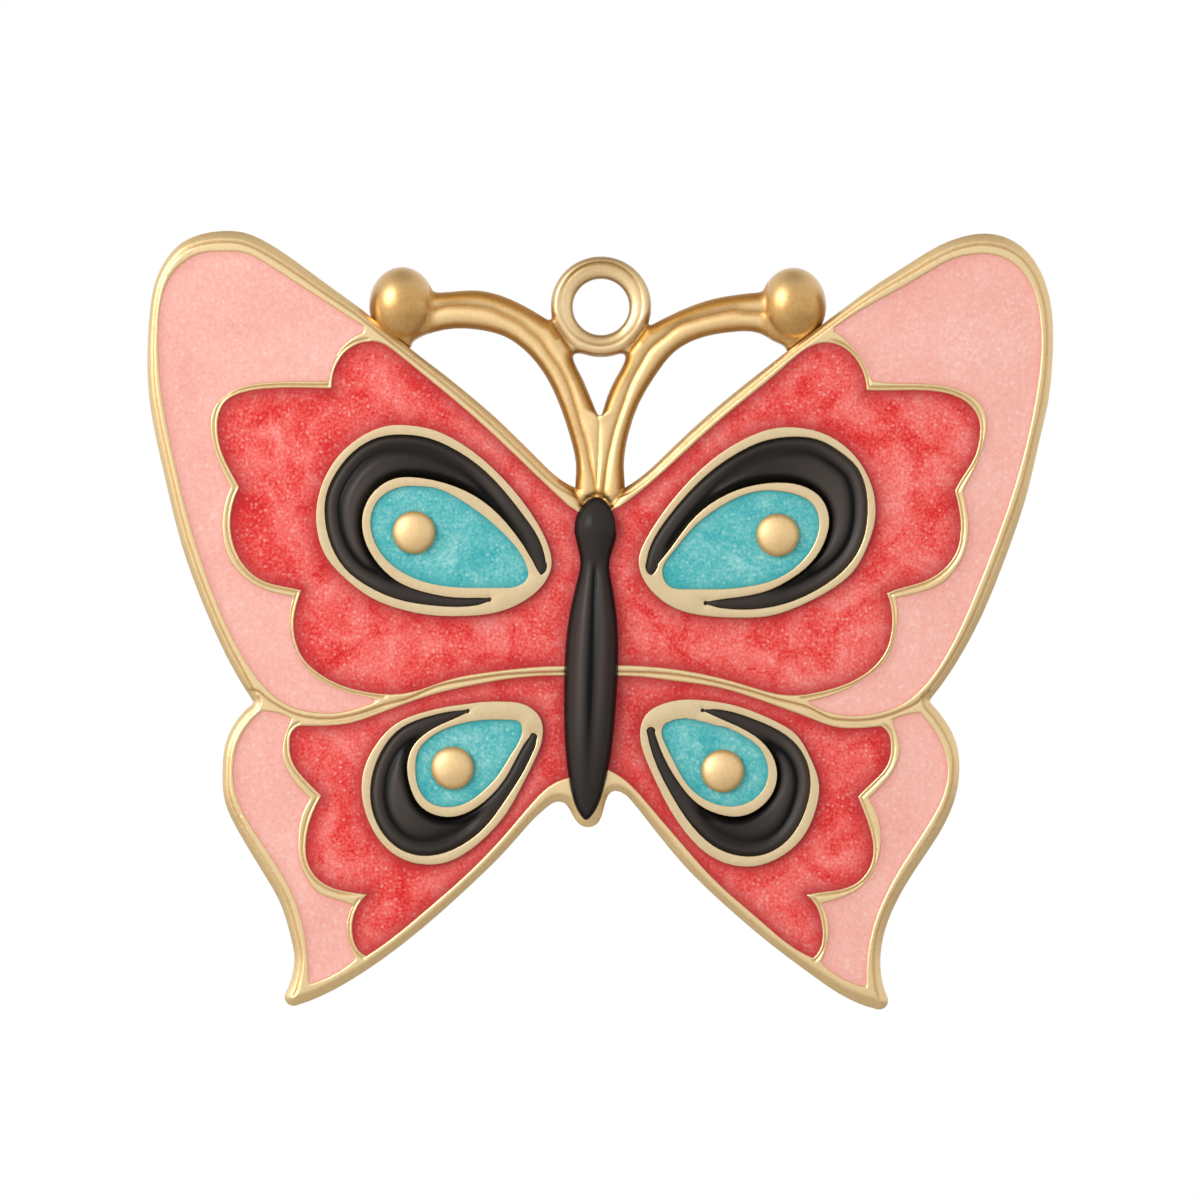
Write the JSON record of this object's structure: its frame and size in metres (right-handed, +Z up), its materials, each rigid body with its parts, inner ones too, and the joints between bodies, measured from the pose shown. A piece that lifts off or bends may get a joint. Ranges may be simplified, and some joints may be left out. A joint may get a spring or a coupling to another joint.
{
  "type": "butterfly ornament",
  "caption": "Flat enamelled butterfly ornament: a gold-plated cast tray with enamel cells, domed eye spots, a dark body, ball-tipped antennae and a hanging ring.",
  "frame": {"origin": "middle of the hanging ring's bore, halfway through the ring", "axes": "+X to the right of the ornament seen from its front, +Z up the hanging ornament, -Y out of its enamelled front"},
  "size_m": [0.037, 0.0031, 0.0318],
  "materials": {
    "gold_plate": "gold plated casting, satin",
    "pink_enamel": "pale pink enamel with a fine shimmer",
    "red_enamel": "translucent red enamel with mottled flecks",
    "teal_enamel": "pearly teal enamel",
    "black_enamel": "satin black enamel",
    "body_black": "satin black enamel, domed"
  },
  "bodies": {
    "root": {"body": "body_black", "wing_casting": "gold_plate", "hanging_ring": "gold_plate", "antenna_ball_left": "gold_plate", "antenna_left": "gold_plate", "antenna_ball_right": "gold_plate", "antenna_right": "gold_plate", "pink_enamel_upper_left": "pink_enamel", "red_enamel_upper_left": "red_enamel", "black_crescent_upper_left": "black_enamel", "teal_enamel_upper_left": "teal_enamel", "eye_stud_upper_left": "gold_plate", "eye_bezel_upper_left": "gold_plate", "pink_enamel_upper_right": "pink_enamel", "red_enamel_upper_right": "red_enamel", "black_crescent_upper_right": "black_enamel", "teal_enamel_upper_right": "teal_enamel", "eye_stud_upper_right": "gold_plate", "eye_bezel_upper_right": "gold_plate", "pink_enamel_lower_left": "pink_enamel", "red_enamel_lower_left": "red_enamel", "black_crescent_lower_left": "black_enamel", "teal_enamel_lower_left": "teal_enamel", "eye_stud_lower_left": "gold_plate", "eye_bezel_lower_left": "gold_plate", "pink_enamel_lower_right": "pink_enamel", "red_enamel_lower_right": "red_enamel", "black_crescent_lower_right": "black_enamel", "teal_enamel_lower_right": "teal_enamel", "eye_stud_lower_right": "gold_plate", "eye_bezel_lower_right": "gold_plate"}
  },
  "joints": []
}
